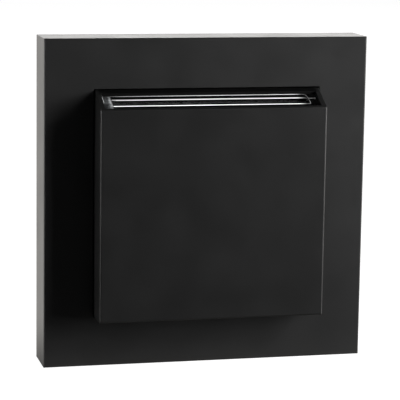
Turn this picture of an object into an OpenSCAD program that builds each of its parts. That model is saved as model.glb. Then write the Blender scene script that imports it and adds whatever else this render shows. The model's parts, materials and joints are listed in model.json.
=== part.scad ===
// Flush light switch worked by a room card: wall frame, card pocket with a lit
// slot, card lever, and a switch insert with claws for a round wall box.
// x points right, z points up and the front looks along -y. The origin is the
// middle of the wall plane, and depths into the wall are positive.

/* [Frame] */
// Width and height of the wall frame
frame_w = 90; // [86:0.5:100]
// How far the frame stands off the wall
frame_depth = 13.2; // [12:0.1:15]
// Outer wall of the frame
frame_wall = 2.2; // [1.6:0.1:3]
// Face of the frame
frame_face = 2; // [1.4:0.1:2.6]
// Broken edge round the front of the frame
frame_edge = 0.3; // [0.1:0.1:0.8]
// Wall round the opening of the frame
collar_wall = 2.5; // [1.5:0.1:3]
// Gap between pocket and frame, on every side
pocket_gap = 0.3; // [0.1:0.05:0.5]

/* [Card pocket] */
// Height of the pocket at the face of the frame
pocket_h = 62.1; // [61:0.1:63]
// How much the slanted top falls towards the front
slant_drop = 4.4; // [2:0.1:6]
// Side, top and bottom walls of the pocket
pocket_wall = 1.35; // [1:0.05:1.5]
// Front wall of the pocket
front_wall = 0.9; // [0.7:0.05:1.2]
// Back wall of the pocket
back_wall = 1.6; // [1.2:0.1:1.9]
// Broken edge round the front of the pocket
pocket_edge = 0.3; // [0.1:0.1:0.6]
// How far the pocket's walls reach in behind the face of the frame
pocket_reach = 5.1; // [4:0.1:5.4]

/* [Card way] */
// Width of the card
card_w = 54; // [52:0.1:54.5]
// Thickness of the card
card_t = 0.76; // [0.7:0.02:0.9]
// Play of the card from side to side
card_play = 0.5; // [0.3:0.1:1]
// Clear depth of the way for the card
card_gap = 2.5; // [2:0.1:2.8]
// Clear liner behind the card way
liner_back = 1.8; // [1.4:0.1:2.4]
// Clear liner in front of the card way
liner_front = 1.95; // [1.5:0.05:2.4]
// Clear liner at both ends of the card way
liner_end = 2.5; // [1.8:0.1:3]
// How deep the clear liner lies under the slanted top
liner_drop = 0.6; // [0.3:0.05:1.2]
// Broken edges of the clear liner
liner_edge = 0.25; // [0.1:0.05:0.4]
// Height of the clear liner, from the top of the pocket
liner_h = 25; // [23.6:0.1:25.2]

/* [Card lever] */
// Distance from the lever's pivot to the plunger
lever_reach = 15; // [14.6:0.1:15.3]
// Angle that the lever turns when a card is in
lever_angle = 7; // [4:0.5:7.5]
// Width of the lever's arm
lever_w = 11; // [8:0.5:12]
// Thickness of the lever's arm
lever_t = 2; // [1.6:0.1:2.2]
// Radius of the lever's hub
hub_r = 2; // [1.7:0.1:2.1]
// Radius of the lever's pin
pin_r = 0.8; // [0.6:0.05:1]

/* [Support plate] */
// Plate outside the middles of the holes for the box screws
plate_rim = 5.25; // [4.5:0.25:6]
// Thickness of the support plate
plate_t = 1; // [0.8:0.1:1.2]
// Distance between the two holes for the box screws
box_screw_pitch = 60; // [59:0.5:61]
// Radius of the holes for the box screws
box_screw_r = 2.1; // [1.8:0.1:2.2]

/* [Switch insert] */
// Housing outside the window of the support plate
window_rim = 4.6; // [4.4:0.1:4.8]
// Depth of the insert's housing behind the wall plane
housing_depth = 24.4; // [24:0.2:30]
// Walls of the insert's housing
housing_wall = 1.6; // [1.2:0.1:1.7]
// Floor of the insert's housing
floor_t = 2.4; // [1.8:0.1:2.6]
// Radius of the round holes for the wires
wire_r = 1.5; // [1.2:0.1:1.6]
// Distance between two wires of one terminal
wire_pitch = 8; // [7.8:0.1:8.4]
// Room for a wire and its spring, from clamping plate to wall
terminal_w = 7.6; // [7.4:0.1:7.8]
// Radius of the plunger's stem
plunger_r = 2.5; // [2.2:0.1:2.7]
// Clearance of a shaft in its bore, on the radius
running_fit = 0.06; // [0.03:0.01:0.1]

/* [Claws] */
// Length of a claw from its pivot
claw_len = 20; // [18:0.5:24]
// Thickness of a claw's sheet
claw_t = 1; // [0.8:0.1:1.1]
// Radius of a claw screw
claw_screw_r = 1.5; // [1.3:0.05:1.55]

/* [Hidden] */
$fn = 48;
over = 1;
seam = 0.15;
rest_gap = 0.1;

black = "#1d1d1d";
clear = "#dfe6ea";
pale = "#d9d9d4";
steel = "#9da1a6";
zinc = "#b9bcc0";
copper = "#b97b4b";

// Width of the pocket, and how far it stands out of the frame
seam_walls = seam + pocket_wall;
way_w = card_w + card_play;
pocket_w = way_w + 2 * (liner_end + seam_walls);
liner_proud = liner_front + card_gap + liner_back;
pocket_proud = front_wall + seam + liner_proud + seam + back_wall;

// Depths of the frame and the pocket
face_y = -frame_depth;
pocket_front_y = face_y - pocket_proud;
pocket_rear_y = face_y + pocket_reach;
plate_front_y = -plate_t;
opening_w = pocket_w + 2 * pocket_gap;
opening_h = pocket_h + 2 * pocket_gap;
hollow_w = frame_w - 2 * frame_wall;
collar_clear = 3.6;
ledge_w = 1.3;
ledge_t = 1.2;
ledge_gap = 0.2;
ledge_y = pocket_rear_y + ledge_gap;
foot_w = 6;
foot_place = 25;
corner_rib_t = 1.2;

// Card pocket
inner_w = pocket_w - 2 * pocket_wall;
inner_h = pocket_h - 2 * pocket_wall;
inner_front_y = pocket_front_y + front_wall;
back_front_y = face_y - back_wall;
bar_h = 7;
bar_z = pocket_h / 2 - bar_h;
back_w = inner_w - 2 * seam;
back_h = inner_h - 2 * seam;
skirt_wall = 1.4;
skirt_end = 4.2;
lug_z = 16;
lug_h = 6;
lug_proud = 0.9;
lug_deep = 2.2;
lug_len = 1.6;
lug_front_y = face_y + lug_deep;
lug_rear_y = lug_front_y + lug_len;
lug_play = 0.2;

// Card way
liner_w = inner_w - 2 * seam;
liner_front_y = inner_front_y + seam;
liner_rear_y = back_front_y - seam;
gap_front_y = liner_front_y + liner_front;
gap_rear_y = gap_front_y + card_gap;
liner_z = pocket_h / 2 - liner_h;
way_corner_share = 0.48;
way_corner = card_gap * way_corner_share;
inlet_gap = 0.6;
guide_rib_w = 1.2;
guide_rib_shares = [-0.44, -0.2, 0.2, 0.44];
stop_t = 1.5;
stop_z = stop_t - back_h / 2;

// Heights of plunger, pivot and lamp, one above the other
guide_r = 4;
inlet_r = 2.3;
inlet_space = 0.7;
lamp_h = 5.4;
lamp_play = 0.1;
collar_t = 1;
lamp_rise = hub_r + inlet_space + inlet_r;
socket_up = lamp_h / 2 + lamp_play + collar_t;
works_h = guide_r + lever_reach + lamp_rise + socket_up;
works_z = 0.9;
lamp_z = works_z + works_h / 2 - socket_up;
pivot_z = lamp_z - lamp_rise;
plunger_z = pivot_z - lever_reach;

// Card lever
hub_clear = 0.3;
pivot_y = face_y + hub_r + hub_clear;
hub_w = 14;
nose_w = 10;
nose_top = 3.4;
nose_low = 3.2;
tip_top = 1.2;
tip_low = 2.2;
tip_reach = lever_reach + (tip_top + tip_low) / 2;
nose_tip_y = gap_front_y + card_t - tip_reach * lever_angle * PI / 180;
lever_end = 3.5;
window_play = 1.2;
window_over = 1.1;
window_under = 2.8;
ear_gap = 0.4;
ear_t = 2;
ear_r = 2.4;
press_gap = 0.02;
lever_front_y = pivot_y - lever_t / 2;
lever_rear_y = pivot_y + lever_t / 2;
travel = lever_reach * lever_angle * PI / 180;

// Clip legs of the pocket
leg_in = 2.9;
leg_x = back_w / 2 - skirt_wall - leg_in;
leg_t = 1.4;
leg_w = 3.6;
leg_z = 6;
leg_end = 2.2;
hook = 0.8;
hook_h = 1.4;
leg_play = 0.3;

// Support plate
plate_w = box_screw_pitch + 2 * plate_rim;
plate_cut = 6;
cap_rim = 1.2;
cap_play = 0.3;
cap_w = works_h + 2 * cap_rim;
window_w = cap_w + 2 * cap_play;
window_cut = 4.2;
ear_sheet = 1.2;
ear_play = 0.3;
slot_r = 1.6;
slot_len = 8;

// Insert
housing_w = window_w + 2 * window_rim;
cavity_w = housing_w - 2 * housing_wall;
boss_cut = 6.4;
boss_depth = 5.6;
cavity_cut = 2;
housing_cut = 3;
floor_y = housing_depth - floor_t;
cap_proud = 2.6;
flange_play = 0.3;
flange_t = 1.5;
flange_cut = 6.6;
guide_out = 6.5;
guide_front_y = -guide_out;
guide_rear_y = 3;
lamp_w = 8;
lamp_out = 6.7;
lamp_front_y = -lamp_out;
lamp_rear_y = 6;
rivet_in = 3.4;
rivet_place = housing_w / 2 - rivet_in;
rivet_r = 1.2;
rivet_head_r = 2.1;
rivet_head_t = 0.5;
rivet_len = 4;

// Contacts
strip_t = 0.8;
clamp_plate_x = cavity_w / 2 - terminal_w - strip_t;
bridge_clear = 2;
stem_gap = 0.2;
stem_tip_y = lever_rear_y + stem_gap;
nub_r = 0.9;
nub_h = 0.8;
head_w = 9;
head_h = 7;
head_y = guide_rear_y + rest_gap;
head_len = 4.9;
bridge_y = head_y + head_len;
bridge_w = 2 * (clamp_plate_x - bridge_clear);
bridge_h = 4;
bridge_t = 0.6;
tip_in = 2;
tip_x = bridge_w / 2 - tip_in;
tip_r = 1.4;
tip_t = 0.8;
boss_r = 1.5;
boss_len = 2;
bridge_fit = 0.1;
contact_gap = 0.12;
bridge_rear_y = bridge_y + bridge_t;
fixed_tip_y = bridge_rear_y + tip_t + travel + contact_gap;
fixed_y = fixed_tip_y + tip_t;
strip_lap = 1.8;
strip_in = tip_x - strip_lap;
strip_h = 4.4;
post_w = 4;
clamp_plate_in = 1.6;
clamp_plate_end = floor_y - clamp_plate_in;
clamp_plate_over = 2.5;
tongue_in = 1.2;
tongue_h = 3;
lamp_pin_out = 6.4;
tongue_y = lamp_rear_y + lamp_pin_out;
lamp_pin_r = 0.4;
lamp_pin_x = 2;

// Terminals
wire_clear = 0.15;
wire_x = clamp_plate_x + strip_t + wire_r + wire_clear;
wire_z = [plunger_z - wire_pitch / 2, plunger_z + wire_pitch / 2, lamp_z];
funnel = 0.8;
spring_sheet = 0.4;
bend_r = 2.1;
bend_in = 5;
bend_y = floor_y - bend_in;
spring_seat = 0.3;
bend_x = cavity_w / 2 - spring_seat - bend_r;
spring_low = 1.8;
spring_high = 2.8;
jaw_lead = 2.65;
jaw_y = fixed_y - jaw_lead;
jaw_gap = 0.15;
spring_lead = 1.5;
spring_in_y = jaw_y - spring_lead;
release_gap = 0.3;
release_t = 1.6;
release_y1 = floor_y - release_gap;
release_y0 = release_y1 - release_t;
release_in = 1.4;
release_w = 2.6;
release_x1 = cavity_w / 2 - release_in;
release_x0 = release_x1 - release_w;
release_z = 3;
button_h = 6;
button_out = 1.5;
button_play = 0.3;
finger_in = 0.25;
finger_t = 1;
finger_x0 = wire_x - finger_in;
finger_x1 = finger_x0 + finger_t;
finger_z = 1.7;
finger_w = 1;
finger_len = 5.2;
finger_y = release_y1 - finger_len;

// Lamp
led_r = 1.5;
led_flange_r = 1.8;
led_flange_t = 0.6;
led_len = 1.7;
inlet_y = lamp_front_y - led_len - led_r - inlet_gap;

// Plunger spring
coil_r = 2.1;
coil_wire = 0.5;
coil_turns = 6;
coil_steps = 8;
coil_sides = 6;
coil_y0 = bridge_rear_y + rest_gap;
coil_y1 = floor_y - rest_gap;

// Claws
claw_hub_r = 1.3;
claw_pin_r = 0.9;
claw_y = 2 * claw_hub_r;
claw_clear = 0.3;
claw_z = housing_w / 2 + claw_clear + claw_hub_r;
claw_half = 5.4;
claw_gap = 3;
claw_sheet_z = 0.3;
foot_y = 4.5;
foot_t = 1;
foot_out = 6.2;
claw_bar = 2.5;
tooth_h = 1.9;
claw_teeth = 4;
trunnion = 1.3;
screw_out = 4;
screw_z = claw_z + screw_out;
screw_over = 3.2;
screw_head_r = 2.8;
screw_head_t = 1.9;
screw_slot = 0.8;
screw_hole_play = 0.2;
nut_gap = 0.3;
nut_y = claw_y + foot_y + foot_t + nut_gap;
nut_core = 2.8;
nut_wing = 4.6;
nut_t = 2.4;
screw_end = nut_y + nut_t + screw_over;
wing_t = 1.4;
nut_low = 2.3;
nut_high = 2.4;
wing_z = 0.7;

// A box from one corner to the opposite one
module block(low, high) {
    translate(low) cube(high - low);
}

// An outline in x and z made solid from a front depth to a rear depth
module slab(front, rear) {
    translate([0, rear, 0]) rotate([90, 0, 0]) linear_extrude(rear - front) children();
}

// An outline in y and z made solid from a left place to a right place
module strip(left, right) {
    translate([left, 0, 0]) rotate([90, 0, 90]) linear_extrude(right - left) children();
}

// A round bar along y
module bar_y(x, z, r, front, rear) {
    translate([x, rear, z]) rotate([90, 0, 0]) cylinder(h = rear - front, r = r);
}

// A round bar along x
module bar_x(y, z, r, left, right) {
    translate([left, y, z]) rotate([0, 90, 0]) cylinder(h = right - left, r = r);
}

// A rectangle about the middle
module middle(w, h) {
    square([w, h], center = true);
}

// A square about the middle with its corners cut off
module cut_square(w, cut) {
    half = w / 2;
    polygon([
        [half - cut, -half], [half, -half + cut], [half, half - cut], [half - cut, half],
        [-half + cut, half], [-half, half - cut], [-half, -half + cut], [-half + cut, -half]
    ]);
}

// Outline of a front edge broken on both sides, from a rear depth to a front depth
module broken_front(w, edge, front, rear) {
    half = w / 2;
    polygon([
        [-half, rear], [-half, front + edge], [-half + edge, front],
        [half - edge, front], [half, front + edge], [half, rear]
    ]);
}

// The same on both sides of the middle, left and right
module both_sides() {
    for (side = [0, 1]) mirror([side, 0, 0]) children();
}

// The same above and below the middle
module top_and_bottom() {
    for (side = [0, 1]) mirror([0, 0, side]) children();
}

// Wall frame

module frame_outside() {
    intersection() {
        translate([0, 0, -frame_w / 2]) linear_extrude(frame_w)
            broken_front(frame_w, frame_edge, face_y, 0);
        rotate([0, 90, 0]) translate([0, 0, -frame_w / 2]) linear_extrude(frame_w)
            broken_front(frame_w, frame_edge, face_y, 0);
    }
}

module frame_feet() {
    x0 = opening_w / 2;
    z0 = opening_h / 2;
    near = foot_place - foot_w / 2;
    far = foot_place + foot_w / 2;
    block([x0, -collar_clear, near], [x0 + collar_wall, plate_front_y, far]);
    block([near, -collar_clear, z0], [far, plate_front_y, z0 + collar_wall]);
}

module corner_rib() {
    corner = (hollow_w + frame_wall) / 2;
    start = [opening_w + collar_wall, opening_h + collar_wall] / 2;
    reach = [corner, corner] - start;
    translate([start[0], face_y + frame_face / 2, start[1]]) rotate([0, -atan2(reach[1], reach[0]), 0])
        block([0, 0, -corner_rib_t / 2], [norm(reach), -face_y / 2, corner_rib_t / 2]);
}

module frame() {
    color(black) {
        difference() {
            frame_outside();
            slab(face_y + frame_face, over) difference() {
                middle(hollow_w, hollow_w);
                middle(opening_w + 2 * collar_wall, opening_h + 2 * collar_wall);
            }
            slab(-collar_clear, over) middle(hollow_w, hollow_w);
            slab(face_y - over, ledge_y) middle(opening_w, opening_h);
            slab(face_y, over) middle(opening_w - 2 * ledge_w, opening_h - 2 * ledge_w);
            slab(ledge_y + ledge_t, over) middle(opening_w, opening_h);
        }
        both_sides() top_and_bottom() {
            frame_feet();
            corner_rib();
        }
    }
}

// Front half of the card pocket

module pocket_outside() {
    top = pocket_h / 2;
    intersection() {
        strip(-pocket_w / 2, pocket_w / 2) polygon([
            [pocket_rear_y, -top], [pocket_front_y + pocket_edge, -top],
            [pocket_front_y, -top + pocket_edge], [pocket_front_y, top - slant_drop],
            [face_y, top], [pocket_rear_y, top]
        ]);
        translate([0, 0, -pocket_h]) linear_extrude(2 * pocket_h)
            broken_front(pocket_w, pocket_edge, pocket_front_y, pocket_rear_y);
    }
}

module pocket_hollow() {
    half = inner_w / 2;
    block([-half, inner_front_y, -inner_h / 2], [half, over, bar_z]);
    block([-half, inner_front_y, bar_z - over], [half, back_front_y, pocket_h]);
    block([-half, face_y, bar_z - over], [half, over, inner_h / 2]);
}

module lug_window() {
    block(
        [inner_w / 2 - over, lug_front_y - lug_play, lug_z - lug_h / 2 - lug_play],
        [inner_w / 2 + lug_proud - seam + lug_play, lug_rear_y + lug_play, lug_z + lug_h / 2 + lug_play]
    );
}

module front_ribs() {
    for (share = guide_rib_shares) {
        x = share * inner_w;
        block(
            [x - guide_rib_w / 2, inner_front_y - front_wall / 2, -inner_h / 2 - pocket_wall / 2],
            [x + guide_rib_w / 2, gap_front_y, liner_z - seam]
        );
    }
}

module pocket_front() {
    color(black) {
        difference() {
            pocket_outside();
            pocket_hollow();
            both_sides() top_and_bottom() lug_window();
        }
        front_ribs();
    }
}

// Back half of the card pocket

module back_skirt() {
    slab(face_y, -skirt_end) difference() {
        middle(back_w, back_h);
        middle(back_w - 2 * skirt_wall, back_h - 2 * skirt_wall);
    }
}

module pivot_ear() {
    x0 = hub_w / 2 + ear_gap;
    strip(x0, x0 + ear_t) difference() {
        union() {
            translate([face_y - back_wall / 2, pivot_z - ear_r])
                square([pivot_y - face_y + back_wall / 2, 2 * ear_r]);
            translate([pivot_y, pivot_z]) circle(ear_r);
        }
        translate([pivot_y, pivot_z]) circle(pin_r + press_gap);
    }
}

module clip_leg() {
    z0 = leg_z - leg_w / 2;
    x1 = leg_x + leg_t;
    translate([0, 0, z0]) linear_extrude(leg_w) polygon([
        [leg_x, face_y - back_wall / 2], [x1, face_y - back_wall / 2], [x1, seam],
        [x1 + hook, seam], [x1, seam + hook_h], [x1, leg_end], [leg_x, leg_end]
    ]);
}

module back_lug() {
    x0 = back_w / 2;
    translate([0, 0, lug_z - lug_h / 2]) linear_extrude(lug_h) polygon([
        [x0 - skirt_wall / 2, lug_front_y], [x0, lug_front_y],
        [x0 + lug_proud, lug_rear_y], [x0 - skirt_wall / 2, lug_rear_y]
    ]);
}

module back_ribs() {
    for (share = guide_rib_shares) {
        x = share * inner_w;
        block(
            [x - guide_rib_w / 2, gap_rear_y, stop_z],
            [x + guide_rib_w / 2, face_y - back_wall / 2, liner_z - seam]
        );
    }
}

module card_stop() {
    block(
        [-back_w / 2, gap_front_y + seam, stop_z - stop_t],
        [back_w / 2, face_y - back_wall / 2, stop_z]
    );
}

module lever_window() {
    half = nose_w / 2 + window_play;
    block(
        [-half, back_front_y - over, plunger_z - nose_low - window_under],
        [half, face_y + over, plunger_z + nose_top + window_over]
    );
}

module pocket_back() {
    color(black) {
        difference() {
            union() {
                block([-back_w / 2, back_front_y, -back_h / 2], [back_w / 2, face_y, bar_z - seam]);
                back_ribs();
            }
            lever_window();
            bar_y(0, lamp_z, inlet_r + press_gap, back_front_y - over, face_y + over);
        }
        card_stop();
        back_skirt();
        both_sides() {
            pivot_ear();
            top_and_bottom() {
                clip_leg();
                back_lug();
            }
        }
    }
}

// Clear liner of the card way, with the light inlet behind it

// Height of the liner's slanted top at a depth
function liner_top(y) = pocket_h / 2 - liner_drop - slant_drop * (face_y - y) / pocket_proud;

// Side outline of the liner, its top edges broken
module liner_outline() {
    polygon([
        [liner_rear_y, liner_z], [liner_front_y, liner_z],
        [liner_front_y, liner_top(liner_front_y) - liner_edge],
        [liner_front_y + liner_edge, liner_top(liner_front_y + liner_edge)],
        [liner_rear_y - liner_edge, liner_top(liner_rear_y - liner_edge)],
        [liner_rear_y, liner_top(liner_rear_y) - liner_edge]
    ]);
}

// Side outline of the mouth of the card way, wider at the top by the broken edges
module mouth_outline() {
    polygon([
        [gap_front_y, liner_top(gap_front_y) - liner_edge],
        [gap_front_y - liner_edge, liner_top(gap_front_y - liner_edge)],
        [gap_front_y - liner_edge, pocket_h / 2], [gap_rear_y + liner_edge, pocket_h / 2],
        [gap_rear_y + liner_edge, liner_top(gap_rear_y + liner_edge)],
        [gap_rear_y, liner_top(gap_rear_y) - liner_edge]
    ]);
}

// Outline of a slot with round corners, seen from above
module round_slot(w, front, rear, r) {
    half = w / 2;
    translate([-half + r, front]) square([w - 2 * r, rear - front]);
    translate([-half, front + r]) square([w, rear - front - 2 * r]);
    for (x = [-half + r, half - r]) for (y = [front + r, rear - r]) translate([x, y]) circle(r);
}

module standing(low, high) {
    translate([0, 0, low]) linear_extrude(high - low) children();
}

module light_guide() {
    straight = way_w / 2 - way_corner;
    color(clear) difference() {
        union() {
            strip(-liner_w / 2, liner_w / 2) liner_outline();
            bar_y(0, lamp_z, inlet_r, gap_rear_y + liner_back / 2, inlet_y);
        }
        standing(liner_z - over, pocket_h) round_slot(way_w, gap_front_y, gap_rear_y, way_corner);
        strip(-straight, straight) mouth_outline();
    }
}

// Card lever and its pin

module lever_nose() {
    strip(-nose_w / 2, nose_w / 2) polygon([
        [pivot_y, plunger_z + nose_top], [lever_front_y, plunger_z + nose_top],
        [nose_tip_y, plunger_z - tip_top], [nose_tip_y, plunger_z - tip_low],
        [lever_front_y, plunger_z - nose_low], [pivot_y, plunger_z - nose_low]
    ]);
}

module card_lever() {
    half = lever_w / 2;
    color(pale) difference() {
        union() {
            bar_x(pivot_y, pivot_z, hub_r, -hub_w / 2, hub_w / 2);
            block([-half, lever_front_y, plunger_z - lever_end], [half, lever_rear_y, pivot_z]);
            lever_nose();
        }
        bar_x(pivot_y, pivot_z, pin_r + running_fit, -hub_w, hub_w);
    }
}

module lever_pin() {
    half = hub_w / 2 + ear_gap + ear_t;
    color(steel) bar_x(pivot_y, pivot_z, pin_r, -half, half);
}

// Support plate with ears for the claws

module claw_ear() {
    x0 = claw_half + ear_play;
    low = claw_z - claw_hub_r;
    strip(x0, x0 + ear_sheet) difference() {
        union() {
            translate([plate_front_y / 2, low]) square([claw_y - plate_front_y / 2, 2 * claw_hub_r]);
            translate([claw_y, claw_z]) circle(claw_hub_r);
        }
        translate([claw_y, claw_z]) circle(claw_pin_r + running_fit);
    }
}

module leg_slot() {
    block(
        [leg_x - leg_play, plate_front_y - over, leg_z - leg_w / 2 - leg_play],
        [leg_x + leg_t + hook + leg_play, over, leg_z + leg_w / 2 + leg_play]
    );
}

// A curved slot beside a corner of the plate, for a box screw turned aside
module turned_slot() {
    slab(plate_front_y - over, over) {
        rotate(45) translate([box_screw_pitch / 2, 0]) {
            middle(2 * slot_r, slot_len);
            translate([0, slot_len / 2]) circle(slot_r);
            translate([0, -slot_len / 2]) circle(slot_r);
        }
    }
}

module support_plate() {
    color(steel) {
        difference() {
            slab(plate_front_y, 0) cut_square(plate_w, plate_cut);
            slab(plate_front_y - over, over) cut_square(window_w, window_cut);
            both_sides() {
                bar_y(box_screw_pitch / 2, 0, box_screw_r, plate_front_y - over, over);
                top_and_bottom() {
                    leg_slot();
                    turned_slot();
                    bar_y(rivet_place, rivet_place, rivet_r, plate_front_y - over, over);
                }
            }
            top_and_bottom()
                bar_y(0, screw_z, claw_screw_r + screw_hole_play, plate_front_y - over, over);
        }
        both_sides() top_and_bottom() claw_ear();
    }
}

module plate_rivets() {
    color(zinc) both_sides() top_and_bottom() {
        bar_y(rivet_place, rivet_place, rivet_r, plate_front_y, rivet_len);
        bar_y(rivet_place, rivet_place, rivet_head_r, plate_front_y - rivet_head_t, plate_front_y);
    }
}

// Housing of the insert

module wire_hole(z) {
    bar_y(wire_x, z, wire_r, floor_y - over, housing_depth + over);
    translate([wire_x, housing_depth, z]) rotate([90, 0, 0])
        cylinder(h = funnel, r1 = wire_r + funnel, r2 = wire_r);
}

module button_window() {
    block(
        [release_x0 - button_play, floor_y - over, release_z - button_h / 2 - button_play],
        [release_x1 + button_play, housing_depth + over, release_z + button_h / 2 + button_play]
    );
}

module contact_posts() {
    block(
        [tip_x - post_w / 2, fixed_y + strip_t, plunger_z - strip_h / 2],
        [tip_x + post_w / 2, floor_y + floor_t / 2, plunger_z + strip_h / 2]
    );
    block(
        [tip_x - post_w / 2, tongue_y + strip_t, lamp_z - tongue_h / 2],
        [tip_x + post_w / 2, floor_y + floor_t / 2, lamp_z + tongue_h / 2]
    );
}

module insert_housing() {
    color(pale) {
        difference() {
            slab(0, housing_depth) cut_square(housing_w, housing_cut);
            slab(-over, floor_y) cut_square(cavity_w, boss_cut);
            slab(boss_depth, floor_y) cut_square(cavity_w, cavity_cut);
            both_sides() {
                for (z = wire_z) wire_hole(z);
                button_window();
                top_and_bottom() bar_y(rivet_place, rivet_place, rivet_r, -over, rivet_len);
            }
        }
        both_sides() contact_posts();
        bar_y(0, plunger_z, boss_r, floor_y - 2 * boss_len, floor_y + floor_t / 2);
    }
}

// Cap of the insert, with the plunger's guide and the lamp's socket

module insert_cap() {
    flange_w = cavity_w - 2 * flange_play;
    socket_w = lamp_w + 2 * lamp_play;
    socket_h = lamp_h + 2 * lamp_play;
    color(pale) difference() {
        union() {
            slab(-cap_proud, flange_t) cut_square(cap_w, window_cut);
            slab(seam, flange_t + seam) cut_square(flange_w, flange_cut);
            bar_y(0, plunger_z, guide_r, guide_front_y, guide_rear_y);
            slab(guide_front_y, flange_t) translate([0, lamp_z])
                middle(socket_w + 2 * collar_t, socket_h + 2 * collar_t);
        }
        bar_y(0, plunger_z, plunger_r + running_fit, guide_front_y - over, guide_rear_y + over);
        slab(guide_front_y - over, guide_rear_y + over) translate([0, lamp_z])
            middle(socket_w, socket_h);
    }
}

// Plunger with its domed nub, and the moving contact

module plunger() {
    stem = head_y - stem_tip_y;
    color(pale) {
        translate([0, head_y, plunger_z]) rotate([90, 0, 0]) rotate_extrude() {
            square([plunger_r, stem - nub_h]);
            square([nub_r / 2, stem]);
            translate([0, stem - nub_h]) square([nub_r, nub_h / 2]);
            intersection() {
                translate([nub_r / 2, stem - nub_h / 2]) circle(nub_r / 2);
                translate([0, stem - nub_h]) square([nub_r, nub_h]);
            }
        }
        block(
            [-head_w / 2, head_y, plunger_z - head_h / 2],
            [head_w / 2, bridge_y, plunger_z + head_h / 2]
        );
        bar_y(0, plunger_z, boss_r, bridge_y - over, bridge_y + boss_len);
    }
}

module contact_bridge() {
    half = bridge_w / 2;
    color(copper) difference() {
        union() {
            block(
                [-half, bridge_y, plunger_z - bridge_h / 2],
                [half, bridge_rear_y, plunger_z + bridge_h / 2]
            );
            both_sides() bar_y(tip_x, plunger_z, tip_r, bridge_rear_y, bridge_rear_y + tip_t);
        }
        bar_y(0, plunger_z, boss_r + bridge_fit, bridge_y - over, bridge_rear_y + over);
    }
}

// Return spring of the plunger, one tube along a helix

coil_n = coil_turns * coil_steps;
coil_pitch = (coil_y1 - coil_y0 - 2 * coil_wire) / coil_turns;

function unit(v) = v / norm(v);
function coil_turn(i) = i / coil_steps;
function coil_y(i) = coil_y0 + coil_wire + coil_pitch * coil_turn(i);
function coil_out(i) = [cos(360 * coil_turn(i)), 0, sin(360 * coil_turn(i))];
function coil_round(i) = [-sin(360 * coil_turn(i)), 0, cos(360 * coil_turn(i))];
function coil_along(i) = unit(coil_round(i) + [0, coil_pitch / (2 * PI * coil_r), 0]);
function coil_bent(i) = unit(coil_along(i) + [0, 1, 0]);
function coil_heading(i) = i == 0 || i == coil_n ? coil_bent(i) : coil_along(i);
function coil_middle(i) = coil_r * coil_out(i) + [0, coil_y(i), plunger_z];
function coil_ring(p, out, heading) = [
    for (k = [0:coil_sides - 1])
        let (a = 360 * k / coil_sides)
        p + coil_wire / 2 * (cos(a) * out + sin(a) * cross(heading, out))
];

coil_rings = concat(
    [coil_ring([coil_r, coil_y0, plunger_z], coil_out(0), [0, 1, 0])],
    [for (i = [0:coil_n]) coil_ring(coil_middle(i), coil_out(i), coil_heading(i))],
    [coil_ring([coil_r, coil_y1, plunger_z], coil_out(coil_n), [0, 1, 0])]
);
coil_ring_count = len(coil_rings);
coil_faces = concat(
    [[for (k = [0:coil_sides - 1]) k]],
    [for (i = [0:coil_ring_count - 2]) for (k = [0:coil_sides - 1])
        let (a = i * coil_sides, next = (k + 1) % coil_sides) [a + k, a + coil_sides + k, a + next]],
    [for (i = [0:coil_ring_count - 2]) for (k = [0:coil_sides - 1])
        let (a = i * coil_sides, next = (k + 1) % coil_sides)
        [a + next, a + coil_sides + k, a + coil_sides + next]],
    [[for (k = [coil_sides - 1:-1:0]) (coil_ring_count - 1) * coil_sides + k]]
);
coil_least_gap = min([
    for (i = [0:coil_n]) for (j = [i + coil_steps / 2:coil_n])
        norm(coil_middle(i) - coil_middle(j)) - coil_wire
]);
echo(coil_least_gap = coil_least_gap);

module plunger_spring() {
    color(steel) polyhedron(points = [for (ring = coil_rings) each ring], faces = coil_faces);
}

// Fixed contacts, each with its clamping plate

module contact_strip(tip) {
    plate_x1 = clamp_plate_x + strip_t;
    low = wire_z[0] - clamp_plate_over;
    high = wire_z[1] + clamp_plate_over;
    block(
        [strip_in, fixed_y, plunger_z - strip_h / 2],
        [plate_x1, fixed_y + strip_t, plunger_z + strip_h / 2]
    );
    block([clamp_plate_x, jaw_y, low], [plate_x1, clamp_plate_end, high]);
    bar_y(tip_x, plunger_z, tip_r, fixed_tip_y, fixed_y);
}

module lamp_strip() {
    plate_x1 = clamp_plate_x + strip_t;
    block(
        [tongue_in, tongue_y, lamp_z - tongue_h / 2],
        [plate_x1, tongue_y + strip_t, lamp_z + tongue_h / 2]
    );
    block(
        [clamp_plate_x, jaw_y, lamp_z - clamp_plate_over],
        [plate_x1, clamp_plate_end, lamp_z + clamp_plate_over]
    );
}

module fixed_contact_left() {
    color(copper) mirror([1, 0, 0]) contact_strip();
}

module fixed_contact_right() {
    color(copper) contact_strip();
}

module lamp_contact_left() {
    color(copper) mirror([1, 0, 0]) lamp_strip();
}

module lamp_contact_right() {
    color(copper) lamp_strip();
}

// Clamp springs, one for each wire

module clamp_outline() {
    jaw_x = clamp_plate_x + strip_t + jaw_gap;
    inner = bend_r - spring_sheet;
    difference() {
        translate([bend_x, bend_y]) circle(bend_r);
        translate([bend_x, bend_y]) circle(inner);
        translate([bend_x - bend_r - over, bend_y - bend_r - over])
            square([2 * bend_r + 2 * over, bend_r + over]);
    }
    translate([bend_x + inner, spring_in_y]) square([spring_sheet, bend_y - spring_in_y]);
    polygon([
        [bend_x - bend_r, bend_y], [bend_x - inner, bend_y],
        [jaw_x + spring_sheet, jaw_y], [jaw_x, jaw_y]
    ]);
}

module clamp_springs() {
    color(steel) both_sides() for (z = wire_z)
        standing(z - spring_low, z + spring_high) clamp_outline();
}

// Release levers, pushed in to free the wires

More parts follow.
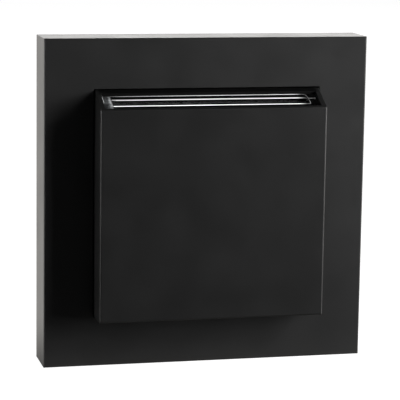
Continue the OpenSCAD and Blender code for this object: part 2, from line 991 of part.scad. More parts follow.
module release_lever() {
    low = wire_z[0] + finger_z;
    high = wire_z[2] + finger_z + finger_w;
    block([release_x0, release_y0, low], [release_x1, release_y1, high]);
    block(
        [release_x0, release_y0, release_z - button_h / 2],
        [release_x1, housing_depth + button_out, release_z + button_h / 2]
    );
    for (z = wire_z) {
        finger_low = z + finger_z;
        finger_high = finger_low + finger_w;
        block([finger_x0, release_y0, finger_low], [release_x0 + finger_w, release_y1, finger_high]);
        block([finger_x0, finger_y, finger_low], [finger_x1, release_y1, finger_high]);
    }
}

module release_lever_left() {
    color("#c8ccd0") mirror([1, 0, 0]) release_lever();
}

module release_lever_right() {
    color("#c8ccd0") release_lever();
}

// Lamp that lights the card way

module lamp_module() {
    half = lamp_w / 2;
    color("#f0efe8") difference() {
        block([-half, lamp_front_y, lamp_z - lamp_h / 2], [half, lamp_rear_y, lamp_z + lamp_h / 2]);
        for (x = [-lamp_pin_x, lamp_pin_x])
            bar_y(x, lamp_z, lamp_pin_r, lamp_rear_y - boss_len, lamp_rear_y + over);
    }
}

module lamp_led() {
    color("#f7f6df") {
        bar_y(0, lamp_z, led_flange_r, lamp_front_y - led_flange_t, lamp_front_y);
        bar_y(0, lamp_z, led_r, lamp_front_y - led_len, lamp_front_y);
        translate([0, lamp_front_y - led_len, lamp_z]) sphere(led_r);
    }
}

module lamp_pins() {
    color(zinc) for (x = [-lamp_pin_x, lamp_pin_x])
        bar_y(x, lamp_z, lamp_pin_r, lamp_rear_y - boss_len, tongue_y);
}

// Claws, with their screws and nuts

module claw_tooth(x) {
    root = claw_z + claw_sheet_z + claw_t / 2;
    low = claw_z + claw_sheet_z + claw_t;
    end = claw_y + claw_len;
    strip(x, x + claw_t) polygon([
        [end - claw_bar, root], [end, root], [end, low],
        [end - claw_t / 2, low + tooth_h], [end - claw_bar, low]
    ]);
}

module claw() {
    sheet = claw_z + claw_sheet_z;
    foot = claw_y + foot_y;
    end = claw_y + claw_len;
    color(zinc) {
        bar_x(claw_y, claw_z, claw_hub_r, -claw_half, claw_half);
        bar_x(claw_y, claw_z, claw_pin_r, -claw_half - trunnion, claw_half + trunnion);
        both_sides() {
            block([claw_gap, claw_y, sheet], [claw_half, end, sheet + claw_t]);
            block([claw_gap, foot, sheet], [claw_half, foot + foot_t, claw_z + foot_out]);
        }
        block([-claw_half, end - claw_bar, sheet], [claw_half, end, sheet + claw_t]);
        for (i = [0:claw_teeth - 1])
            claw_tooth(-claw_half + i * (2 * claw_half - claw_t) / (claw_teeth - 1));
    }
}

module claw_top() {
    claw();
}

module claw_bottom() {
    mirror([0, 0, 1]) claw();
}

module claw_nut() {
    color(steel) difference() {
        union() {
            block([-nut_core, nut_y, screw_z - nut_low], [nut_core, nut_y + nut_t, screw_z + nut_high]);
            block([-nut_wing, nut_y, screw_z + wing_z], [nut_wing, nut_y + wing_t, screw_z + nut_high]);
        }
        bar_y(0, screw_z, claw_screw_r + running_fit, nut_y - over, nut_y + nut_t + over);
    }
}

module claw_nut_top() {
    claw_nut();
}

module claw_nut_bottom() {
    mirror([0, 0, 1]) claw_nut();
}

module claw_screw() {
    head_y1 = plate_front_y - rest_gap / 2;
    head_y0 = head_y1 - screw_head_t;
    color(zinc) difference() {
        union() {
            bar_y(0, screw_z, claw_screw_r, head_y0, screw_end);
            bar_y(0, screw_z, screw_head_r, head_y0, head_y1);
        }
        block(
            [-screw_head_r - over, head_y0 - over, screw_z - screw_slot / 2],
            [screw_head_r + over, head_y0 + screw_head_t / 2, screw_z + screw_slot / 2]
        );
    }
}

module claw_screw_top() {
    claw_screw();
}

module claw_screw_bottom() {
    mirror([0, 0, 1]) claw_screw();
}

frame();
pocket_front();
pocket_back();
light_guide();
card_lever();
lever_pin();
support_plate();
plate_rivets();
insert_housing();
insert_cap();
plunger();
contact_bridge();
plunger_spring();
fixed_contact_left();
fixed_contact_right();
lamp_contact_left();
lamp_contact_right();
clamp_springs();
release_lever_left();
release_lever_right();
lamp_module();
lamp_led();
lamp_pins();
claw_top();
claw_bottom();
claw_nut_top();
claw_nut_bottom();
claw_screw_top();
claw_screw_bottom();
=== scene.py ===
"""Looks of the flush switch worked by a room card: materials, studio and camera round the model."""

import json
import math

import bmesh
import bpy
from mathutils import Matrix, Vector


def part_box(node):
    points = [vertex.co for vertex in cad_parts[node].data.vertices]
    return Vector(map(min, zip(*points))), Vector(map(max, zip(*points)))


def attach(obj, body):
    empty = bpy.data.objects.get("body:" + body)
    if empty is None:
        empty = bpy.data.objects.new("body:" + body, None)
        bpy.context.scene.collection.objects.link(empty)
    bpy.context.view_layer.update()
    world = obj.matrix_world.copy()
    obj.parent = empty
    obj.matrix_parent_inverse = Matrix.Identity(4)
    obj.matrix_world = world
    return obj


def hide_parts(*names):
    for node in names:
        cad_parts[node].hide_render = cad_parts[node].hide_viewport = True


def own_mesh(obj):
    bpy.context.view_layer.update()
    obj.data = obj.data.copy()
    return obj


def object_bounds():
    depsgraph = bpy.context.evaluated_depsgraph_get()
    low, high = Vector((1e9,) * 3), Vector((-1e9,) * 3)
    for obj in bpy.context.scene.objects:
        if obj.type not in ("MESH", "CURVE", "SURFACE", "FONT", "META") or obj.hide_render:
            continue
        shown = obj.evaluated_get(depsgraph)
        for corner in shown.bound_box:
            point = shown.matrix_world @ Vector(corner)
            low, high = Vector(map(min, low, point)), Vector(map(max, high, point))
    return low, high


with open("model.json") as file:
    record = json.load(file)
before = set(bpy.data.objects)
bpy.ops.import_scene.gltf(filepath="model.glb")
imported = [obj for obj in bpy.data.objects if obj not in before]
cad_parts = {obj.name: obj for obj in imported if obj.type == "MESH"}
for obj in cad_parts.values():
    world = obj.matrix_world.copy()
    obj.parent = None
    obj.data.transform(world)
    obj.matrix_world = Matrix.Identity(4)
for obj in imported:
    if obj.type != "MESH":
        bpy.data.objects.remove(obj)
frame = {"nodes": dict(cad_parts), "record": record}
cad_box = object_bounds()

MM = 0.001

# Camera of the photograph, worked out from the edges of frame and pocket
SENSOR_WIDTH = 36
FOCAL_LENGTH = 176.29
CAMERA_AIM = Vector((-1.29, -11.1, 0.07)) * MM
CAMERA_DISTANCE = 539.4 * MM
CAMERA_TURN = math.radians(-13.66)
CAMERA_DOWN = math.radians(9.74)
CAMERA_ROLL = math.radians(0.85)
CAMERA_CLIP = (0.01, 20)

# Lamps: name, place and size in metres, power in watts
LAMPS = (
    ("key", (0.525, -0.28, 0.14), (0.285, 0.45), 8.4),
    ("left_fill", (-0.9, 0.03, 0.0), (0.08, 0.7), 7.0),
    ("backdrop_glow", (0.2, 1.2, 0.24), (1.4, 0.3), 3.6),
    ("rear_right", (0.95, 0.72, 0.4), (0.9, 0.8), 4.5),
    ("rear_left", (-0.9, 0.75, 0.4), (0.9, 0.8), 4.5),
)

# Floor and world, which are dark in front and white behind where a mirror image shows them
FLOOR_SIZE = 6.0
FLOOR_GREY = 0.55
FLOOR_WHITE = 1.6
FLOOR_GLOSS = 1.08
FLOOR_BEHIND = (-0.04, 0.05)
SHADOW_KEPT = 0.4
WORLD_FILL = 0.03
WORLD_BEHIND = (-0.1, 0.5)
DARK_SIDE = 0.0
DARK_ABOVE = (0.3, 0.6)
WARM_WHITE = (1.03, 1.0, 0.95, 1)

# Clear liner of the slot and the card way in it, measured as the moulding is
FRAME_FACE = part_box("frame")[0].y
POCKET_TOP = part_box("pocket_front")[1].z
POCKET_PROUD = FRAME_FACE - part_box("pocket_front")[0].y
SLANT_DROP = 4.4 * MM
LINER_DROP = 0.6 * MM
LINER_EDGE = 0.25 * MM
LINER_FRONT_WALL = 1.95 * MM
LINER_REAR_WALL = 1.8 * MM
LINER_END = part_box("light_guide")[1].x
WAY_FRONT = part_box("light_guide")[0].y + LINER_FRONT_WALL
WAY_GAP = 2.5 * MM
WAY_REAR = WAY_FRONT + WAY_GAP
WAY_HALF = 27.25 * MM
WAY_LEFT = -WAY_HALF
WAY_CORNER = 1.2 * MM
LINER_REAR = WAY_REAR + LINER_REAR_WALL

# Beads of painted highlight on the liner's edges
RIM_RADIUS = 0.15 * MM
REAR_RIM_RADIUS = 0.09 * MM
END_RIM_RADIUS = 0.06 * MM
END_RIM_LENGTH = 3.1 * MM
# Fine lines of painted highlight at the liner's right end
PAINTED_LINE_RADIUS = 0.04 * MM
PAINTED_LINE_TURN = 1.4 * MM
PAINTED_LINE_FORWARD = 0.3 * MM
PAINTED_LINE_START = 0.1 * MM
PAINTED_LINE_FOOT = 0.2 * MM
BEAD_CORNER = 0.35 * MM
BEAD_OVERRUN = 0.2 * MM
CORNER_STEPS = 10
RUN_STEPS = 30
RUN_OUT = 3
RUN_TIP = 0.2
TUBE_SIDES = 12

# Painted highlight along the edges of the card way, and how much of it is left at the right end
EDGE_START = (WAY_LEFT - 0.25 * MM, WAY_LEFT + 0.1 * MM)
EDGE_FALL = (WAY_HALF - 3.4 * MM, WAY_HALF - 0.9 * MM)
EDGE_END = (WAY_HALF - 1.3 * MM, WAY_HALF - 0.2 * MM)
EDGE_END_DEPTH = (WAY_FRONT + 0.4 * MM, WAY_FRONT + 1.2 * MM)
EDGE_END_KEPT = (0.9, 0.12)
EDGE_FRONT_KEPT = 0.72
EDGE_GRAIN = 4
EDGE_RIPPLE = (0.95, 1.05)
WEAK_EDGE_GRAIN = 0.8
WEAK_EDGE_RIPPLE = (0.6, 1.4)

# Painted glow at the liner's left end
GLOW_RISE = (WAY_LEFT - 1.3 * MM, WAY_LEFT - 0.5 * MM)
GLOW_FAINT = (0.004, 0.04)
GLOW_FAINT_DEPTH = (WAY_FRONT + 0.3 * MM, WAY_FRONT + 1.6 * MM)
GLOW_FULL = 0.28
GLOW_END = (WAY_LEFT - 0.5 * MM, WAY_LEFT - 0.1 * MM)
GLOW_REAR_DEPTH = (WAY_REAR, WAY_REAR + 0.8 * MM)
GLOW_REAR_KEPT = 0.4
SPECKLE_GRAIN = 0.5
SPECKLE_SPAN = (0.35, 0.65)
SPECKLE_LIGHT = (0.5, 1.5)
CLEAR_ROUGHNESS = (0.02, 0.05)

# Painted shade in the pocket's recess behind the liner, where little light reaches
RECESS_DARK = 0.88
RECESS_DEPTH = (LINER_REAR - 0.3 * MM, LINER_REAR - 0.05 * MM)
RECESS_HEIGHT = (POCKET_TOP - 2 * SLANT_DROP, POCKET_TOP - 1.5 * SLANT_DROP)
RECESS_SIDE = (LINER_END + 0.1 * MM, LINER_END + 1.0 * MM)
RECESS_SIDE_KEPT = 0.3
RECESS_SHADE_COLOUR = 0.15
RECESS_SHADE_GLOSS = (0.4, 0.1)

# Grain of moulded and rolled surfaces
NOISE_SPAN = (0.3, 0.7)
BROAD_GRAIN = 40
GLOSS_SPREAD = 0.03
RELIEF_DEPTH = 0.02 * MM
BEVEL_SAMPLES = 6

# Plunger spring, wound of round wire
COIL_WIRE = 0.5 * MM
COIL_TURNS = 6
COIL_STEPS = 32
COIL_CLOSED = 0.52 * MM

# Claw screws, with a fine metric thread and a slotted head
SCREW_PLACES = ("top", "bottom")
SCREW_SIDES = 32
THREAD_PITCH = 0.5 * MM
THREAD_DEPTH = 0.27 * MM
THREAD_STEPS = 6
SHANK_RADIUS = 1.5 * MM
HEAD_HEIGHT = 1.9 * MM
HEAD_EDGE = 0.35 * MM
HEAD_STEPS = 5
SLOT_WIDTH = 0.8 * MM
SLOT_DEPTH = 0.95 * MM
CUTTER_REACH = 1.5

# Lamp's lens
LENS_RADIUS = 1.5 * MM
FOOT_HEIGHT = 0.6 * MM
FOOT_EDGE = 0.1 * MM
DOME_STEPS = 10
DOME_TIP = 4


def make_camera():
    """The camera stands where the photograph's lens stood."""
    data = bpy.data.cameras.new("camera")
    data.sensor_width = SENSOR_WIDTH
    data.lens = FOCAL_LENGTH
    data.clip_start, data.clip_end = CAMERA_CLIP
    camera = bpy.data.objects.new("camera", data)
    bpy.context.scene.collection.objects.link(camera)
    turn = Matrix.Rotation(CAMERA_TURN, 3, "Z")
    tilt = Matrix.Rotation(math.pi / 2 - CAMERA_DOWN, 3, "X")
    roll = Matrix.Rotation(CAMERA_ROLL, 3, "Z")
    orientation = turn @ tilt @ roll
    stand = CAMERA_AIM + orientation @ Vector((0, 0, 1)) * CAMERA_DISTANCE
    camera.matrix_world = Matrix.Translation(stand) @ orientation.to_4x4()
    bpy.context.scene.camera = camera


class Graph:
    """A node tree with short calls for making and joining nodes."""

    def __init__(self, tree):
        self.tree = tree
        tree.nodes.clear()

    def put(self, socket, value):
        """Joins an output socket, or sets a plain value."""
        if isinstance(value, bpy.types.NodeSocket):
            self.tree.links.new(value, socket)
        else:
            socket.default_value = value

    def add(self, kind, inputs=None, **settings):
        """A new node with its settings and inputs."""
        node = self.tree.nodes.new(kind)
        for name, value in settings.items():
            setattr(node, name, value)
        for name, value in (inputs or {}).items():
            self.put(node.inputs[name], value)
        return node

    def coordinates(self, kind="Object"):
        """Place on the object, or another kind of texture coordinates."""
        return self.add("ShaderNodeTexCoord").outputs[kind]

    def split(self, vector):
        """The X, Y and Z of a vector."""
        return self.add("ShaderNodeSeparateXYZ", {0: vector}).outputs

    def math(self, operation, *values):
        """The result of one operation."""
        node = self.add("ShaderNodeMath", operation=operation)
        for socket, value in zip(node.inputs, values):
            self.put(socket, value)
        return node.outputs[0]

    def product(self, level, *others):
        """Several levels multiplied with each other."""
        for other in others:
            level = self.math("MULTIPLY", level, other)
        return level

    def ramp(self, value, low, high, to_low=0.0, to_high=1.0):
        """A soft step from one level to another."""
        inputs = {"Value": value, "From Min": low, "From Max": high, "To Min": to_low, "To Max": to_high}
        return self.add("ShaderNodeMapRange", inputs, interpolation_type="SMOOTHSTEP").outputs[0]

    def noise(self, place, grain, detail):
        """Noise whose grain is given in mm."""
        inputs = {"Vector": place, "Scale": 1 / (grain * MM), "Detail": detail}
        return self.add("ShaderNodeTexNoise", inputs).outputs[0]

    def mix_colour(self, factor, first, second):
        """A colour between two others."""
        node = self.add("ShaderNodeMix", {"Factor": factor}, data_type="RGBA")
        colours = [socket for socket in node.inputs if socket.type == "RGBA"]
        self.put(colours[0], first)
        self.put(colours[1], second)
        return [socket for socket in node.outputs if socket.type == "RGBA"][0]

    def light(self, kind, colour, strength):
        """A shader that gives light."""
        return self.add(kind, {"Color": colour, "Strength": strength}).outputs[0]

    def mix_shader(self, factor, first, second):
        """A shader between two others."""
        return self.add("ShaderNodeMixShader", {0: factor, 1: first, 2: second}).outputs[0]

    def mirrored(self, path):
        """Tells the rays that come from a mirror image or through clear plastic."""
        return self.math("MAXIMUM", path["Is Glossy Ray"], path["Is Transmission Ray"])

    def finish(self, sockets):
        """Makes the material's surface of one principled shader."""
        shader = self.add("ShaderNodeBsdfPrincipled", sockets)
        self.add("ShaderNodeOutputMaterial", {"Surface": shader.outputs[0]})


def grey(value):
    """A grey as a colour."""
    return (value, value, value, 1)


def start_material(name):
    """A new material and its empty graph."""
    material = bpy.data.materials.new(name)
    material.use_nodes = True
    return material, Graph(material.node_tree)


def make_world():
    """White behind the object, dark beside the camera, and a weak even fill."""
    world = bpy.data.worlds.new("studio")
    bpy.context.scene.world = world
    world.use_nodes = True
    graph = Graph(world.node_tree)
    path = graph.add("ShaderNodeLightPath").outputs
    heading = graph.split(graph.coordinates("Generated"))
    behind = graph.ramp(heading["Y"], *WORLD_BEHIND, DARK_SIDE, 1.0)
    low = graph.ramp(heading["Z"], *DARK_ABOVE, 1.0, 0.0)
    fill = graph.light("ShaderNodeBackground", grey(1), WORLD_FILL)
    gloss = graph.light("ShaderNodeBackground", WARM_WHITE, graph.product(behind, low))
    white = graph.light("ShaderNodeBackground", grey(1), 1)
    shader = graph.mix_shader(graph.mirrored(path), fill, gloss)
    shader = graph.mix_shader(path["Is Camera Ray"], shader, white)
    graph.add("ShaderNodeOutputWorld", {"Surface": shader})


def floor_material():
    """White to the camera and in gloss behind the object, with the object's shadow kept."""
    material, graph = start_material("pale_floor")
    path = graph.add("ShaderNodeLightPath").outputs
    place = graph.split(graph.add("ShaderNodeNewGeometry").outputs["Position"])
    level = graph.ramp(place["Y"], *FLOOR_BEHIND, DARK_SIDE, FLOOR_GLOSS)
    matt = graph.add("ShaderNodeBsdfDiffuse", {"Color": grey(FLOOR_GREY)}).outputs[0]
    gloss = graph.light("ShaderNodeEmission", WARM_WHITE, level)
    backdrop = graph.light("ShaderNodeEmission", grey(1), FLOOR_WHITE)
    shader = graph.mix_shader(graph.mirrored(path), matt, gloss)
    shader = graph.mix_shader(graph.product(path["Is Camera Ray"], 1 - SHADOW_KEPT), shader, backdrop)
    graph.add("ShaderNodeOutputMaterial", {"Surface": shader})
    return material


def make_floor():
    """A plain floor under the object, wide enough for every view."""
    half = FLOOR_SIZE / 2
    height = cad_box[0].z
    corners = [(x * half, y * half, height) for x, y in ((-1, -1), (1, -1), (1, 1), (-1, 1))]
    mesh = bpy.data.meshes.new("floor")
    mesh.from_pydata(corners, [], [(0, 1, 2, 3)])
    mesh.materials.append(floor_material())
    floor = bpy.data.objects.new("floor", mesh)
    bpy.context.scene.collection.objects.link(floor)


def make_lamp(name, place, size, power):
    """A soft rectangular lamp, aimed at the object."""
    data = bpy.data.lights.new(name, "AREA")
    data.shape = "RECTANGLE"
    data.size, data.size_y = size
    data.energy = power
    lamp = bpy.data.objects.new(name, data)
    lamp.location = place
    lamp.rotation_mode = "QUATERNION"
    lamp.rotation_quaternion = Vector(place).to_track_quat("Z", "Y")
    bpy.context.scene.collection.objects.link(lamp)


def painted_recess_shade(graph):
    """Painted shade: falls from 1 towards 0 behind the liner, at the top of the pocket."""
    place = graph.split(graph.coordinates())
    behind = graph.ramp(place["Y"], *RECESS_DEPTH)
    high = graph.ramp(place["Z"], *RECESS_HEIGHT)
    inner = graph.ramp(graph.math("ABSOLUTE", place["X"]), *RECESS_SIDE, 1.0, RECESS_SIDE_KEPT)
    return graph.math("SUBTRACT", 1.0, graph.product(behind, high, inner, RECESS_DARK))


def surface(
    name, colour, roughness, grain, bump, stretch=(1, 1, 1), edge=0.2, mottle=0.05, shade=None, **sockets
):
    """A principled material with a fine grain in colour, gloss and relief.

    The grain and the width of the rounded edges are in mm. A painted shade darkens the
    colour and the gloss where it falls, and more sockets of the shader are given by name.
    """
    material, graph = start_material(name)
    scaling = {"Vector": graph.coordinates(), "Scale": stretch}
    place = graph.add("ShaderNodeMapping", scaling).outputs[0]
    fine = graph.noise(place, grain, 3)
    broad = graph.noise(place, grain * BROAD_GRAIN, 2)
    tone = graph.math("ADD", graph.product(fine, 0.5), graph.product(broad, 0.5))
    darker = [c * (1 - mottle) for c in colour]
    lighter = [min(c * (1 + mottle), 1) for c in colour]
    tint = graph.mix_colour(graph.ramp(tone, *NOISE_SPAN), (*darker, 1), (*lighter, 1))
    # Painted shade: colour and specular level fall where the shade falls
    if shade:
        level = shade(graph)
        shaded = [c * RECESS_SHADE_COLOUR for c in colour]
        tint = graph.mix_colour(level, (*shaded, 1), tint)
        sockets["Specular IOR Level"] = graph.math("MULTIPLY_ADD", level, *RECESS_SHADE_GLOSS)
    gloss = graph.ramp(tone, *NOISE_SPAN, roughness - GLOSS_SPREAD, roughness + GLOSS_SPREAD)
    rounded = graph.add("ShaderNodeBevel", {"Radius": edge * MM}, samples=BEVEL_SAMPLES).outputs[0]
    grained = {"Height": fine, "Strength": bump, "Distance": RELIEF_DEPTH, "Normal": rounded}
    relief = graph.add("ShaderNodeBump", grained).outputs[0]
    graph.finish({"Base Color": tint, "Roughness": gloss, "Normal": relief, **sockets})
    return material


def clear_material():
    """Polished clear plastic, with a painted glow at its left end."""
    material, graph = start_material("clear_plastic")
    place = graph.coordinates()
    parts = graph.split(place)
    speckle = graph.noise(place, SPECKLE_GRAIN, 2)
    faint = graph.ramp(parts["Y"], *GLOW_FAINT_DEPTH, *GLOW_FAINT)
    near = graph.ramp(parts["X"], *GLOW_RISE, faint, GLOW_FULL)
    ended = graph.ramp(parts["X"], *GLOW_END, 1.0, 0.0)
    forward = graph.ramp(parts["Y"], *GLOW_REAR_DEPTH, 1.0, GLOW_REAR_KEPT)
    speckled = graph.ramp(speckle, *SPECKLE_SPAN, *SPECKLE_LIGHT)
    graph.finish(
        {
            "Base Color": (0.30, 0.31, 0.32, 1),
            "Roughness": graph.ramp(speckle, *NOISE_SPAN, *CLEAR_ROUGHNESS),
            "Transmission Weight": 1.0,
            "IOR": 1.49,
            "Emission Color": (0.95, 0.98, 1, 1),
            # Painted glow: emission at the liner's left end
            "Emission Strength": graph.product(near, ended, forward, speckled),
        }
    )
    return material


def finish_painted_highlight(graph, level):
    """Dark polished plastic with a painted highlight that glows at the given level."""
    graph.finish(
        {
            "Base Color": grey(0.05),
            "Roughness": 0.15,
            "Emission Color": grey(1),
            "Emission Strength": level,
        }
    )


def painted_highlight_material(name, left, middle, right, front=1.0, start=0.12):
    """A painted highlight along an edge of the card way, with its level at each place."""
    material, graph = start_material(name)
    place = graph.coordinates()
    parts = graph.split(place)
    ripple = graph.noise(place, EDGE_GRAIN, 2)
    begun = graph.ramp(parts["X"], *EDGE_START, start, 1.0)
    rise = graph.ramp(parts["X"], WAY_LEFT, 0.0, left, middle)
    fall = graph.ramp(parts["X"], *EDGE_FALL, 1.0, right)
    kept = graph.ramp(parts["Y"], *EDGE_END_DEPTH, *EDGE_END_KEPT)
    ended = graph.ramp(parts["X"], *EDGE_END, 1.0, kept)
    front_level = graph.ramp(parts["X"], WAY_LEFT, WAY_HALF, front, front * EDGE_FRONT_KEPT)
    depth = graph.ramp(parts["Y"], WAY_FRONT, WAY_REAR, front_level, 1.0)
    rippled = graph.ramp(ripple, *NOISE_SPAN, *EDGE_RIPPLE)
    # Painted highlight: the edge glows by emission
    finish_painted_highlight(graph, graph.product(begun, ended, rise, fall, depth, rippled))
    return material


def faint_painted_highlight_material(name, strength):
    """A fine edge with a faint painted highlight."""
    material, graph = start_material(name)
    ripple = graph.noise(graph.coordinates(), WEAK_EDGE_GRAIN, 2)
    low, high = WEAK_EDGE_RIPPLE
    finish_painted_highlight(graph, graph.ramp(ripple, *NOISE_SPAN, strength * low, strength * high))
    return material


def make_materials():
    """Every finish, under the name of a slot of the record or of the one node that has it."""
    black = (0.0125, 0.0125, 0.0125)
    pocket = (0.008, 0.008, 0.008)
    inner = (0.0025, 0.0025, 0.0027)
    pale = (0.48, 0.48, 0.46)
    medium = (0.30, 0.31, 0.32)
    white = (0.80, 0.80, 0.77)
    steel = (0.42, 0.43, 0.44)
    zinc = (0.44, 0.46, 0.49)
    brass = (0.72, 0.47, 0.24)
    lens = (0.95, 0.94, 0.85)
    rolled = {"stretch": (0.1, 1, 1), "edge": 0.15, "mottle": 0.12, "Metallic": 1.0}
    plated = {"edge": 0.15, "mottle": 0.12, "Metallic": 1.0}
    stamped = {"stretch": (1, 0.5, 1), "edge": 0.1, "mottle": 0.1, "Metallic": 1.0}
    shaded = {"edge": 0.26, "shade": painted_recess_shade}
    return {
        "black_plastic": surface("black_plastic", black, 0.40, 0.25, 0.25),
        # The pocket's finish carries painted shade in its recess
        "pocket_front": surface("pocket_plastic_painted_shade", pocket, 0.40, 0.25, 0.25, **shaded),
        "pocket_back": surface("inner_plastic", inner, 0.28, 0.25, 0.1),
        "pale_plastic": surface("pale_plastic", pale, 0.42, 0.3, 0.3, edge=0.3),
        "grey_plastic": surface("grey_plastic", medium, 0.45, 0.3, 0.3),
        "white_plastic": surface("white_plastic", white, 0.38, 0.3, 0.2),
        "sheet_steel": surface("sheet_steel", steel, 0.34, 0.2, 0.4, **rolled),
        "zinc_plate": surface("zinc_plate", zinc, 0.30, 0.2, 0.4, **plated),
        "brass": surface("brass", brass, 0.28, 0.2, 0.1, **stamped),
        "clear_plastic": clear_material(),
        "led_lens": surface("led_lens", lens, 0.12, 0.3, 0.1, **{"Transmission Weight": 0.6}),
    }


def dress_nodes(materials):
    """Every CAD node takes the finish of its own name, or else the one that the record names."""
    for row in frame["record"]["subparts"]:
        piece = frame["nodes"][row["node"]]
        piece.data.materials.clear()
        piece.data.materials.append(materials.get(row["node"]) or materials[row["material_slot"]])


def turn_outwards(mesh):
    """Turns all faces of a closed mesh outwards."""
    work = bmesh.new()
    work.from_mesh(mesh)
    bmesh.ops.recalc_face_normals(work, faces=work.faces)
    work.to_mesh(mesh)
    work.free()


def make_piece(name, points, faces, body, slot, material):
    """A mesh with smooth sides and flat caps, as a piece that rides on a body."""
    mesh = bpy.data.meshes.new(name)
    mesh.from_pydata(points, [], faces)
    mesh.validate()
    turn_outwards(mesh)
    for face in mesh.polygons:
        face.use_smooth = len(face.vertices) == 4
    mesh.materials.append(material)
    piece = bpy.data.objects.new(name, mesh)
    bpy.context.scene.collection.objects.link(piece)
    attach(piece, body)
    return piece


def skin(rings, closed=False):
    """Points and faces of a skin over rings, joined end to start or with a flat cap at both ends."""
    sides = len(rings[0])
    points = [point for ring in rings for point in ring]
    total = len(points)
    faces = []
    for start in range(0, total if closed else total - sides, sides):
        for k in range(sides):
            near = start + k
            far = start + (k + 1) % sides
            faces.append((near, far, (far + sides) % total, (near + sides) % total))
    if not closed:
        faces.append(tuple(range(sides - 1, -1, -1)))
        faces.append(tuple(range(total - sides, total)))
    return points, faces


def round_section(centre, radius, side, up):
    """A ring of points round a centre, in the plane of two directions."""
    ring = []
    for k in range(TUBE_SIDES):
        angle = 2 * math.pi * k / TUBE_SIDES
        ring.append(centre + radius * (math.cos(angle) * side + math.sin(angle) * up))
    return ring


def tube(path, radius, closed=False):
    """A round bead along a path of points, which runs out to nothing where it ends."""
    rings = []
    last = len(path) - 1
    for i, point in enumerate(path):
        share = 1 if closed else min(1, (i + RUN_TIP) / RUN_OUT, (last - i + RUN_TIP) / RUN_OUT)
        before = path[i - 1] if closed or i > 0 else point
        after = path[(i + 1) % len(path)] if closed or i < last else point
        along = (after - before).normalized()
        side = along.cross(Vector((0, 0, 1))).normalized()
        rings.append(round_section(point, radius * math.sqrt(share), side, side.cross(along)))
    return skin(rings, closed)


def run_between(start, end):
    """Points along a straight edge."""
    return [start.lerp(end, i / RUN_STEPS) for i in range(RUN_STEPS + 1)]


def on_liner(x, y, sink):
    """A point at a depth under the slanted top of the liner."""
    fall = SLANT_DROP * (FRAME_FACE - y) / POCKET_PROUD
    return Vector((x, y, POCKET_TOP - LINER_DROP - fall - sink))


def mouth_path(proud):
    """The broken edge round the card way's mouth, with round corners, a little outside the way."""
    half, front, rear = WAY_HALF + proud, WAY_FRONT - proud, WAY_REAR + proud
    left = -half - BEAD_OVERRUN
    corners = [
        (half, front, -90, BEAD_CORNER),
        (half, rear, 0, WAY_CORNER + proud),
        (left, rear, 90, BEAD_CORNER),
        (left, front, 180, BEAD_CORNER),
    ]
    path = []
    for x, y, start, radius in corners:
        middle_x = x - math.copysign(radius, x)
        middle_y = front + radius if y == front else rear - radius
        for k in range(CORNER_STEPS + 1):
            angle = math.radians(start + 90 * k / CORNER_STEPS)
            at_x = middle_x + radius * math.cos(angle)
            path.append(on_liner(at_x, middle_y + radius * math.sin(angle), proud))
    return path


def make_painted_highlight_bead(name, path, radius, material, closed=False):
    """A bead of painted highlight on the liner's top, which the polished walls of the card way don't
    mirror.
    """
    bead = make_piece(name, *tube(path, radius, closed), "mounted", "clear_plastic", material)
    bead.visible_glossy = False


def make_liner_painted_highlights():
    """Painted highlights, as glowing beads along the polished edges of the clear liner."""
    sink = LINER_EDGE / 2
    # Painted highlights: these beads glow by emission
    bright = painted_highlight_material("card_way_painted_highlight", 0.74, 0.98, 0.1, front=2.45)
    weak = painted_highlight_material("weak_painted_highlight", 0.7, 1.9, 0.05, start=0.4)
    glow = faint_painted_highlight_material("end_painted_glow", 0.8)
    make_painted_highlight_bead("card_way_rim_painted_highlight", mouth_path(sink), RIM_RADIUS, bright, closed=True)
    end = LINER_END - LINER_EDGE
    rear = LINER_REAR - sink
    run = run_between(on_liner(-end, rear, sink), on_liner(end, rear, sink))
    make_painted_highlight_bead("liner_rear_rim_painted_highlight", run, REAR_RIM_RADIUS, weak)
    side = sink - LINER_END
    front = LINER_REAR - END_RIM_LENGTH
    run = run_between(on_liner(side, LINER_REAR, sink), on_liner(side, front, sink))
    make_painted_highlight_bead("liner_end_rim_painted_glow", run, END_RIM_RADIUS, glow)


def make_liner_painted_lines():
    """Two fine lines of painted highlight on the liner's top at its right end, one across and one that
    turns forwards.
    """
    # Painted highlight: the lines glow by emission
    faint = faint_painted_highlight_material("faint_painted_line", 0.3)
    rear = WAY_REAR - PAINTED_LINE_FORWARD
    start = on_liner(WAY_HALF + PAINTED_LINE_START, rear, 0)
    run = run_between(start, on_liner(LINER_END - LINER_EDGE, rear, 0))
    make_painted_highlight_bead("painted_line_across", run, PAINTED_LINE_RADIUS, faint)
    run = []
    for k in range(CORNER_STEPS + 1):
        angle = math.radians(90 - 90 * k / CORNER_STEPS)
        x = WAY_HALF + PAINTED_LINE_TURN * (math.cos(angle) - 1)
        y = LINER_REAR + PAINTED_LINE_TURN * (math.sin(angle) - 1) - LINER_EDGE
        run.append(on_liner(x, y, 0))
    run += run_between(run.pop(), on_liner(WAY_HALF + PAINTED_LINE_FOOT, WAY_FRONT + LINER_EDGE, 0))
    make_painted_highlight_bead("painted_line_along", run, PAINTED_LINE_RADIUS, faint)


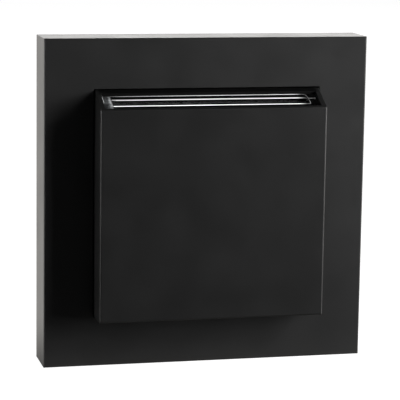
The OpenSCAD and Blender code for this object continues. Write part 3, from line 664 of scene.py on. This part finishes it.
def make_coil_spring(material):
    """A compression spring of round wire, with a closed turn at both ends."""
    low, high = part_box("plunger_spring")
    middle = (low + high) / 2
    radius = (high.x - low.x - COIL_WIRE) / 2
    open_length = high.y - low.y - COIL_WIRE - 2 * COIL_CLOSED
    rings = []
    for i in range(COIL_TURNS * COIL_STEPS + 1):
        turn = i / COIL_STEPS
        closed_turns = min(turn, 1) + max(turn - COIL_TURNS + 1, 0)
        open_share = min(max((turn - 1) / (COIL_TURNS - 2), 0), 1)
        y = low.y + COIL_WIRE / 2 + COIL_CLOSED * closed_turns + open_length * open_share
        angle = 2 * math.pi * turn
        out = Vector((math.cos(angle), 0, math.sin(angle)))
        centre = Vector((middle.x, y, middle.z)) + out * radius
        rings.append(round_section(centre, COIL_WIRE / 2, out, Vector((0, -1, 0))))
    spring = make_piece("coil_spring", *skin(rings), "mounted", "sheet_steel", material)
    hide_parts("plunger_spring")
    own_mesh(spring)


def turned_ring(middle, y, radius_at):
    """A ring of points round an axis along Y, whose radius may change with the angle."""
    ring = []
    for k in range(SCREW_SIDES):
        angle = 2 * math.pi * (k + 0.5) / SCREW_SIDES
        radius = radius_at(angle)
        ring.append(Vector((middle.x + radius * math.cos(angle), y, middle.z - radius * math.sin(angle))))
    return ring


def turned_rings(middle, profile):
    """Round rings along Y for a profile of places and radii."""
    return [turned_ring(middle, y, lambda angle, r=radius: r) for y, radius in profile]


def make_lamp_lens(material):
    """The lamp's domed lens on its round foot."""
    low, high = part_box("lamp_led")
    foot = (high.x - low.x) / 2
    profile = []
    for k in range(DOME_STEPS + 1):
        angle = math.radians(DOME_TIP + (90 - DOME_TIP) * k / DOME_STEPS)
        profile.append((low.y + LENS_RADIUS * (1 - math.cos(angle)), LENS_RADIUS * math.sin(angle)))
    front = high.y - FOOT_HEIGHT
    profile += [(front, LENS_RADIUS), (front, foot - FOOT_EDGE), (front + FOOT_EDGE, foot), (high.y, foot)]
    rings = turned_rings((low + high) / 2, profile)
    lens = make_piece("lamp_lens", *skin(rings), "mounted", "led_lens", material)
    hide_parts("lamp_led")


def thread_radius(y, angle):
    """Radius of a pointed thread at a depth and an angle."""
    phase = (y / THREAD_PITCH + angle / (2 * math.pi)) % 1
    return SHANK_RADIUS - THREAD_DEPTH * abs(2 * phase - 1)


def cut_slot(screw, face, head_radius):
    """Cuts the straight slot into a screw's head."""
    reach = CUTTER_REACH * head_radius
    corners = []
    for x in (-reach, reach):
        for y in (-SLOT_DEPTH, SLOT_DEPTH):
            for z in (-SLOT_WIDTH / 2, SLOT_WIDTH / 2):
                corners.append(face + Vector((x, y, z)))
    sides = [(0, 1, 3, 2), (4, 6, 7, 5), (0, 4, 5, 1), (2, 3, 7, 6), (0, 2, 6, 4), (1, 5, 7, 3)]
    mesh = bpy.data.meshes.new("slot_cutter")
    mesh.from_pydata(corners, [], sides)
    turn_outwards(mesh)
    cutter = bpy.data.objects.new("slot_cutter", mesh)
    bpy.context.scene.collection.objects.link(cutter)
    cut = screw.modifiers.new("slot", "BOOLEAN")
    cut.operation = "DIFFERENCE"
    cut.solver = "EXACT"
    cut.object = cutter
    shaped = screw.evaluated_get(bpy.context.evaluated_depsgraph_get())
    finished = bpy.data.meshes.new_from_object(shaped)
    screw.modifiers.clear()
    screw.data = finished
    bpy.data.objects.remove(cutter)


def make_claw_screw(place, material):
    """A claw screw with its thread and its slotted head."""
    node = f"claw_screw_{place}"
    low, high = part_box(node)
    middle = (low + high) / 2
    head_radius = (high.x - low.x) / 2
    profile = []
    for k in range(HEAD_STEPS + 1):
        angle = math.radians(90 * k / HEAD_STEPS)
        y = low.y + HEAD_EDGE * (1 - math.cos(angle))
        profile.append((y, head_radius - HEAD_EDGE * (1 - math.sin(angle))))
    start = low.y + HEAD_HEIGHT
    profile.append((start, head_radius))
    rings = turned_rings(middle, profile)
    length = high.y - start
    count = int(length / (THREAD_PITCH / THREAD_STEPS))
    for i in range(count + 1):
        y = start + length * i / count
        rings.append(turned_ring(middle, y, lambda angle, y=y: thread_radius(y, angle)))
    screw = make_piece(f"threaded_{node}", *skin(rings), f"screw_{place}", "zinc_plate", material)
    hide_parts(node)
    cut_slot(screw, Vector((middle.x, low.y, middle.z)), head_radius)


bpy.context.scene.view_settings.view_transform = "Standard"
make_camera()
make_world()
make_floor()
for lamp in LAMPS:
    make_lamp(*lamp)
finishes = make_materials()
dress_nodes(finishes)
make_liner_painted_highlights()
make_liner_painted_lines()
make_coil_spring(finishes["sheet_steel"])
make_lamp_lens(finishes["led_lens"])
for place in SCREW_PLACES:
    make_claw_screw(place, finishes["zinc_plate"])
